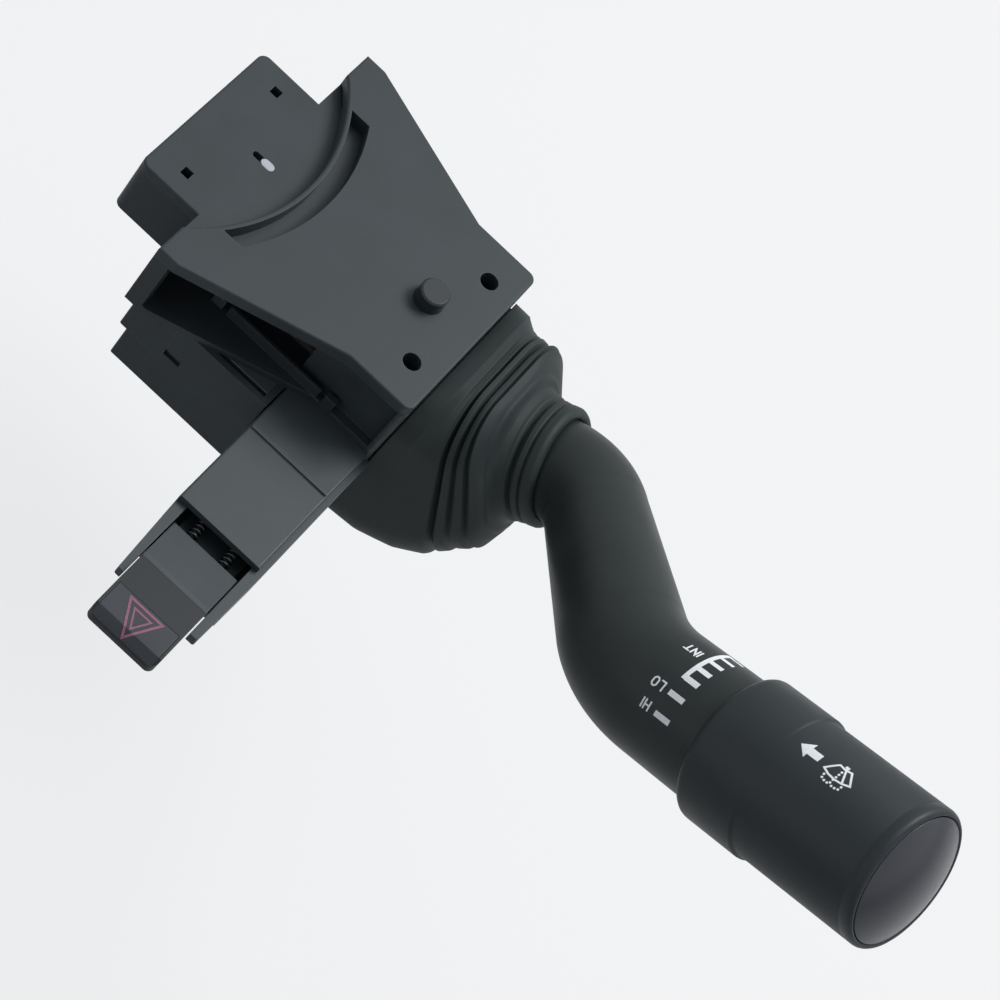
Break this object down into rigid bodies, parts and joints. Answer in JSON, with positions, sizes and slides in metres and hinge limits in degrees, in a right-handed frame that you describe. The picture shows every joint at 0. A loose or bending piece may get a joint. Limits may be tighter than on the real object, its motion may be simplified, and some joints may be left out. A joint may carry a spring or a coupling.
{
  "type": "vehicle combination stalk switch",
  "caption": "Black steering column switch: trapezoid housing with column cut-out, bent lever with rubber boot, turning wiper knob with washer button, and a side arm with a hazard button.",
  "frame": {"origin": "midway between the two mounting screw holes, on the top face of the cover plate", "axes": "+Z out of the cover plate towards the driver, along the screws and the turn pivot; +X from the steering column to the lever; -Y the way the hazard button's arm points"},
  "size_m": [0.2088, 0.1335, 0.1175],
  "materials": {
    "cover_plastic": "fine matt black moulding",
    "housing_plastic": "fine matt black moulding",
    "arm_plastic": "satin black moulding",
    "lever_plastic": "soft matt black moulding",
    "button_plastic": "matt dark grey moulding",
    "boot_rubber": "matt black rubber",
    "lens_plastic": "dark lens with a red triangle",
    "carrier_nylon": "natural nylon",
    "board_laminate": "brown laminate",
    "clip_plastic": "pale grey moulding",
    "copper": "copper alloy",
    "steel": "zinc plated",
    "spring_steel": "spring steel",
    "pin_black": "blackened steel",
    "lead_black": "sheathed lead"
  },
  "bodies": {
    "housing": {"cover_plate": "cover_plastic", "main_shell": "housing_plastic", "block_cap": "cover_plastic", "column_block": "housing_plastic", "lower_housing": "housing_plastic", "end_cover": "housing_plastic", "contact_deck": "housing_plastic", "lower_cover": "housing_plastic", "case_screws": "steel", "connector_main": "clip_plastic", "connector_aux": "clip_plastic", "blades_main": "copper", "blades_aux": "copper", "terminal_board": "board_laminate", "front_housing": "housing_plastic", "boot_frame": "housing_plastic", "boot_base": "boot_rubber", "contact_board": "board_laminate", "turn_contacts": "copper", "detent_spring": "spring_steel", "hazard_channel": "arm_plastic", "hazard_deck": "arm_plastic", "hazard_contacts": "copper"},
    "turn_carrier": {"turn_carrier": "carrier_nylon", "pivot_pin": "pin_black", "swing_arm": "carrier_nylon", "bridge_contact": "copper", "cross_pin": "steel", "pawl_pin": "steel", "beam_switch": "housing_plastic", "pawl_spring": "spring_steel"},
    "cancel_pawl": {"cancel_pawl": "arm_plastic"},
    "lever": {"stalk": "lever_plastic", "lever_root": "carrier_nylon", "knob_spindle": "carrier_nylon", "contact_disc": "board_laminate", "wiper_contacts": "copper", "washer_switch": "housing_plastic", "spindle_clip": "spring_steel", "boot_neck": "boot_rubber", "wiper_lead": "lead_black"},
    "wiper_knob": {"knob_collar": "lever_plastic", "knob_grip": "lever_plastic", "wiper_rotor": "copper", "washer_spring": "spring_steel"},
    "washer_button": {"washer_button": "button_plastic"},
    "hazard_button": {"hazard_slider": "arm_plastic", "hazard_cap": "arm_plastic", "hazard_lens": "lens_plastic", "hazard_springs": "spring_steel", "hazard_bridge": "copper"}
  },
  "joints": [
    {"name": "lever_turn", "type": "hinge", "parent": "housing", "child": "turn_carrier", "pos_m": [-0.0063, 0, -0.02], "axis": [0, 0, 1], "range_deg": [-12, 12], "deforming": ["detent_spring", "boot_base"]},
    {"name": "lever_flash", "type": "hinge", "parent": "turn_carrier", "child": "lever", "pos_m": [0.006, 0, -0.03044], "axis": [0, -1, 0], "range_deg": [-6, 6], "stiffness_Nm_per_rad": 10, "deforming": ["boot_neck"]},
    {"name": "wiper_turn", "type": "hinge", "parent": "lever", "child": "wiper_knob", "pos_m": [0.09541, -0.04925, 0.02521], "axis": [0.8169, -0.2723, 0.5085], "range_deg": [-60, 50]},
    {"name": "washer_push", "type": "slide", "parent": "wiper_knob", "child": "washer_button", "axis": [-0.8169, 0.2723, -0.5085], "range_m": [0, 0.003], "stiffness_N_per_m": 600, "springref_m": -0.002, "deforming": ["washer_spring"]},
    {"name": "hazard_push", "type": "slide", "parent": "housing", "child": "hazard_button", "axis": [0, 1, 0], "range_m": [0, 0.0045], "stiffness_N_per_m": 500, "springref_m": -0.002, "deforming": ["hazard_springs"]},
    {"name": "pawl_cancel", "type": "hinge", "parent": "turn_carrier", "child": "cancel_pawl", "pos_m": [-0.028, 0, -0.009], "axis": [0, 0, 1], "range_deg": [-12, 12], "stiffness_Nm_per_rad": 0.05, "deforming": ["pawl_spring"]}
  ]
}
